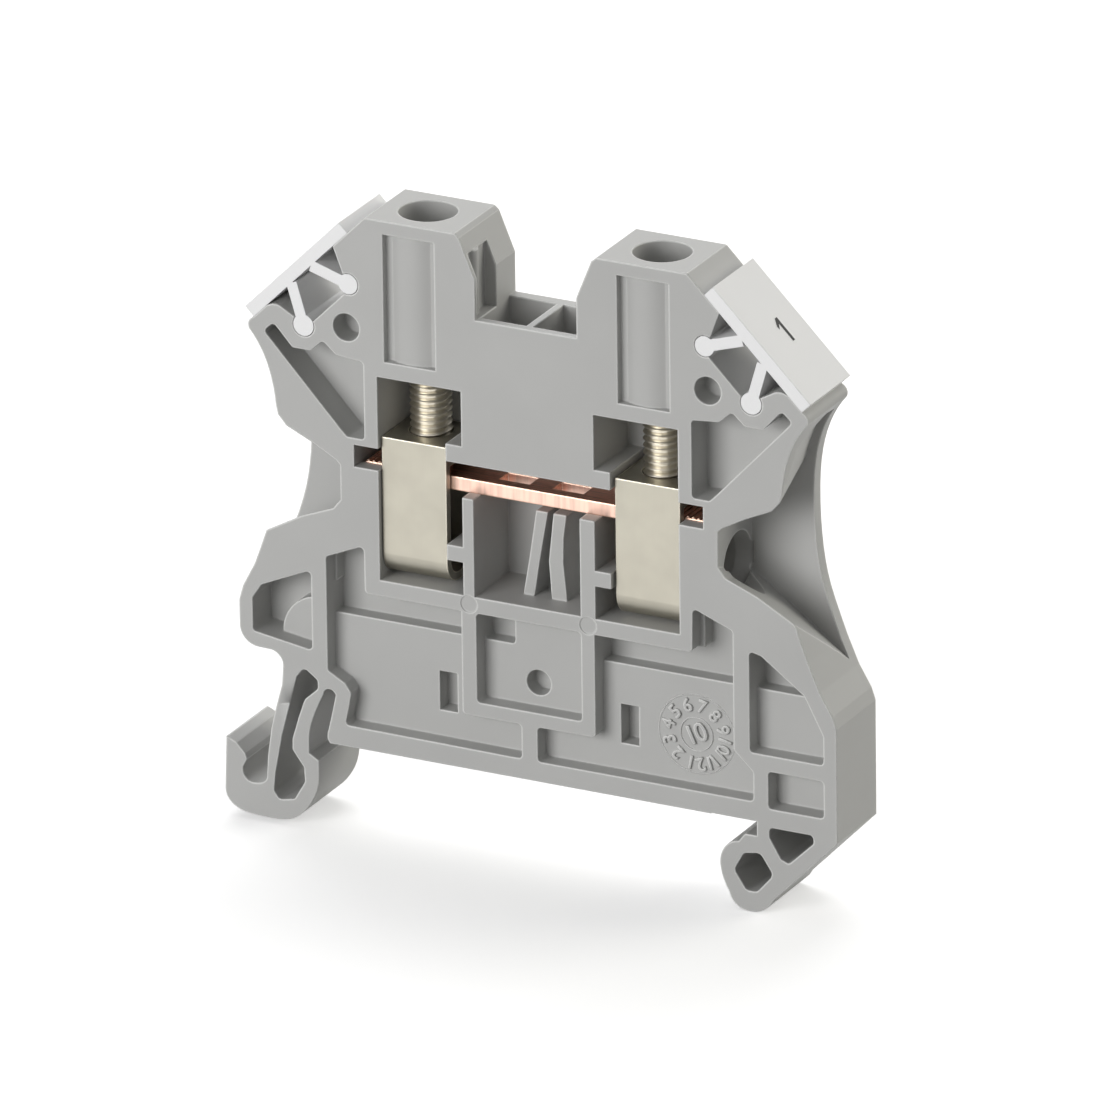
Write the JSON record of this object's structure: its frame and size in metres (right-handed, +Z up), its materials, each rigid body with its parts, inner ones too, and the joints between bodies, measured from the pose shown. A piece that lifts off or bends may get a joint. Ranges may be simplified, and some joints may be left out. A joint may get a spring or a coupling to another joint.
{
  "type": "feed-through terminal block",
  "caption": "Slim rail-mounted feed-through terminal block with screw clamps, current bar, marker strips and a latch foot.",
  "frame": {"origin": "middle of the housing's underside face that rests on the rail's two lips", "axes": "+X along the current bar from the latch foot's side to the fixed hook's side, +Y from the open side to the closed side, +Z up from the rail to the screw towers"},
  "size_m": [0.048, 0.0062, 0.0468],
  "materials": {
    "polyamide": "fine moulded grey polyamide",
    "copper": "copper bar, rolled",
    "nickel_sheet": "nickel-plated steel sheet, satin",
    "nickel_screw": "nickel-plated steel, cold-headed",
    "marker_white": "white polyamide, smooth"
  },
  "bodies": {
    "block": {"housing": "polyamide", "current_bar": "copper", "marker_left": "marker_white", "marker_right": "marker_white"},
    "sleeve_left": {"clamp_sleeve_left": "nickel_sheet"},
    "sleeve_right": {"clamp_sleeve_right": "nickel_sheet"},
    "screw_left": {"clamp_screw_left": "nickel_screw"},
    "screw_right": {"clamp_screw_right": "nickel_screw"}
  },
  "joints": [
    {"name": "screw_turn_left", "type": "hinge", "parent": "block", "child": "screw_left", "pos_m": [-0.0091, 0, 0.03], "axis": [0, 0, -1], "range_deg": [0, 3168]},
    {"name": "sleeve_lift_left", "type": "slide", "parent": "block", "child": "sleeve_left", "axis": [0, 0, 1], "range_m": [0, 0.0044]},
    {"name": "screw_turn_right", "type": "hinge", "parent": "block", "child": "screw_right", "pos_m": [0.0091, 0, 0.03], "axis": [0, 0, -1], "range_deg": [0, 3168]},
    {"name": "sleeve_lift_right", "type": "slide", "parent": "block", "child": "sleeve_right", "axis": [0, 0, 1], "range_m": [0, 0.0044]}
  ],
  "couplings": [
    {"joint": "screw_turn_left", "follows": "sleeve_lift_left", "rad_per_m": 12566},
    {"joint": "screw_turn_right", "follows": "sleeve_lift_right", "rad_per_m": 12566}
  ]
}
